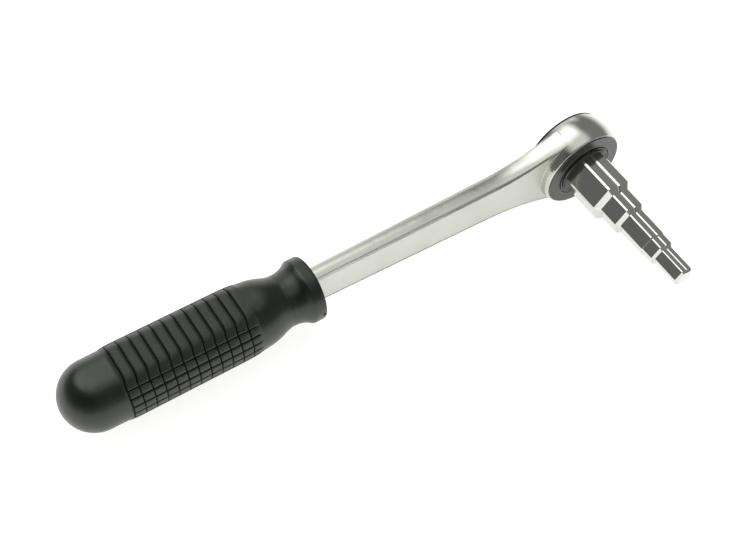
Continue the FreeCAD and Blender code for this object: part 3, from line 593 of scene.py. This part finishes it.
# ---- studio -------------------------------------------------------------------------
def direction(azimuth, elevation):
    """Unit vector, azimuth counted from +X towards +Y."""
    a, e = math.radians(azimuth), math.radians(elevation)
    return Vector((math.cos(e) * math.cos(a), math.cos(e) * math.sin(a), math.sin(e)))


def soft_window(n, ray, window):
    """Strength inside a soft-edged window seen in one direction, and 0 outside it.

    The half width, half height and softness are tangents of angles.
    """
    azimuth, elevation, half_width, half_height, soft, strength = window
    ahead = direction(azimuth, elevation)
    across = Vector((-math.sin(math.radians(azimuth)), math.cos(math.radians(azimuth)), 0))
    above = ahead.cross(across)
    depth = n.vector("DOT_PRODUCT", ray, tuple(ahead), output=1)
    safe = n.math("MAXIMUM", depth, 0.05)
    u = n.math("ABSOLUTE", n.math("DIVIDE", n.vector("DOT_PRODUCT", ray, tuple(across), output=1), safe))
    v = n.math("ABSOLUTE", n.math("DIVIDE", n.vector("DOT_PRODUCT", ray, tuple(above), output=1), safe))
    inside_u = n.ramp(u, half_width + soft, max(half_width - soft, 0.0))
    inside_v = n.ramp(v, half_height + soft, max(half_height - soft, 0.0))
    facing = n.ramp(depth, 0.02, 0.12)
    inside = n.math("MULTIPLY", n.math("MULTIPLY", inside_u, inside_v), facing)
    return n.math("MULTIPLY", inside, strength)


def build_world():
    """White to the camera; to everything else a dim studio with soft boxes."""
    world = bpy.data.worlds.new("studio")
    bpy.context.scene.world = world
    world.use_nodes = True
    n = Nodes(world.node_tree)
    ray = n.add("TexCoord", output=0)
    dark = n.math("MAXIMUM", *[soft_window(n, ray, window) for window in STUDIO_DARKS])
    level = n.math("MULTIPLY", n.math("SUBTRACT", 1.0, dark), STUDIO_BASE)
    for window in STUDIO_LIGHTS:
        level = n.math("ADD", level, soft_window(n, ray, window))
    up = n.add("SeparateXYZ", {0: ray}, output=2)
    level = n.math("ADD", level, n.ramp(up, *CEILING_RISE, 0.0, CEILING_STRENGTH))
    seen = n.add("LightPath", output=0)
    strength = n.math("ADD", n.math("MULTIPLY", level, n.math("SUBTRACT", 1.0, seen)), seen)
    background = n.add("Background", {"Color": (1, 1, 0.99, 1), "Strength": strength})
    n.tree.links.new(background, n.add("OutputWorld").inputs[0])


def build_floor():
    """Plain white table under the tool, darker far away where only reflections see it."""
    low_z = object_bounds()[0][2] - FLOOR_GAP
    half = FLOOR_HALF_SIDE
    corners = [(-half, -half, low_z), (half, -half, low_z), (half, half, low_z), (-half, half, low_z)]
    mesh = bpy.data.meshes.new("floor")
    mesh.from_pydata(corners, [], [(0, 1, 2, 3)])
    material = bpy.data.materials.new("floor_white")
    material.use_nodes = True
    n = Nodes(material.node_tree)
    place = n.place()
    away = n.vector("DOT_PRODUCT", place, FLOOR_AWAY, output=1)
    fade = n.ramp(away, *FLOOR_FADE)
    seen = n.add("LightPath", output=0)
    dim = n.math("MULTIPLY", fade, n.math("SUBTRACT", 1.0, seen))
    glow = n.math("SUBTRACT", FLOOR_GLOW, n.math("MULTIPLY", dim, FLOOR_DIM))
    paper = n.noise(place, 35.0, 2.0)
    shade = n.blend(paper, (0.42, 0.42, 0.415, 1), (0.46, 0.46, 0.455, 1))
    diffuse = n.add("BsdfDiffuse", {"Color": shade})
    emission = n.add("Emission", {"Color": (1, 1, 0.99, 1), "Strength": glow})
    both = n.add("AddShader", {0: diffuse, 1: emission})
    n.tree.links.new(both, n.add("OutputMaterial").inputs[0])
    mesh.materials.append(material)
    floor = bpy.data.objects.new("floor", mesh)
    bpy.context.scene.collection.objects.link(floor)


def add_softbox(name, place, target, size, power):
    """Area light that isn't itself seen in reflections."""
    light = bpy.data.lights.new(name, "AREA")
    light.shape = "RECTANGLE"
    light.size, light.size_y = size
    light.energy = power
    lamp = bpy.data.objects.new(name, light)
    lamp.location = place
    lamp.rotation_euler = (Vector(target) - Vector(place)).to_track_quat("-Z", "Y").to_euler()
    lamp.visible_glossy = False
    bpy.context.scene.collection.objects.link(lamp)


def add_camera():
    """Camera at the fitted place, with its roll about the line of sight."""
    azimuth = math.radians(CAMERA_AZIMUTH)
    elevation = math.radians(CAMERA_ELEVATION)
    roll = math.radians(CAMERA_ROLL)
    flat = math.cos(elevation)
    forward = Vector((math.sin(azimuth) * flat, math.cos(azimuth) * flat, -math.sin(elevation)))
    level_right = forward.cross(Vector((0, 0, 1))).normalized()
    level_up = level_right.cross(forward)
    right = level_right * math.cos(roll) + level_up * math.sin(roll)
    up = right.cross(forward)
    camera = bpy.data.cameras.new("camera")
    camera.lens = CAMERA_LENS
    camera.sensor_width = SENSOR_WIDTH
    camera.clip_start = 0.01
    holder = bpy.data.objects.new("camera", camera)
    turn = Matrix((right, up, -forward)).transposed().to_4x4()
    holder.matrix_world = Matrix.Translation(Vector(CAMERA_PLACE)) @ turn
    bpy.context.scene.collection.objects.link(holder)
    bpy.context.scene.camera = holder


def write_sizes():
    """Update the view layer."""
    bpy.context.view_layer.update()


materials = make_materials()
dress_cad_nodes(materials)
build_grip(materials["grip_plastic"])
build_world()
build_floor()
for lamp_row in LAMPS:
    add_softbox(*lamp_row)
add_camera()
bpy.context.scene.view_settings.view_transform = "Standard"
write_sizes()
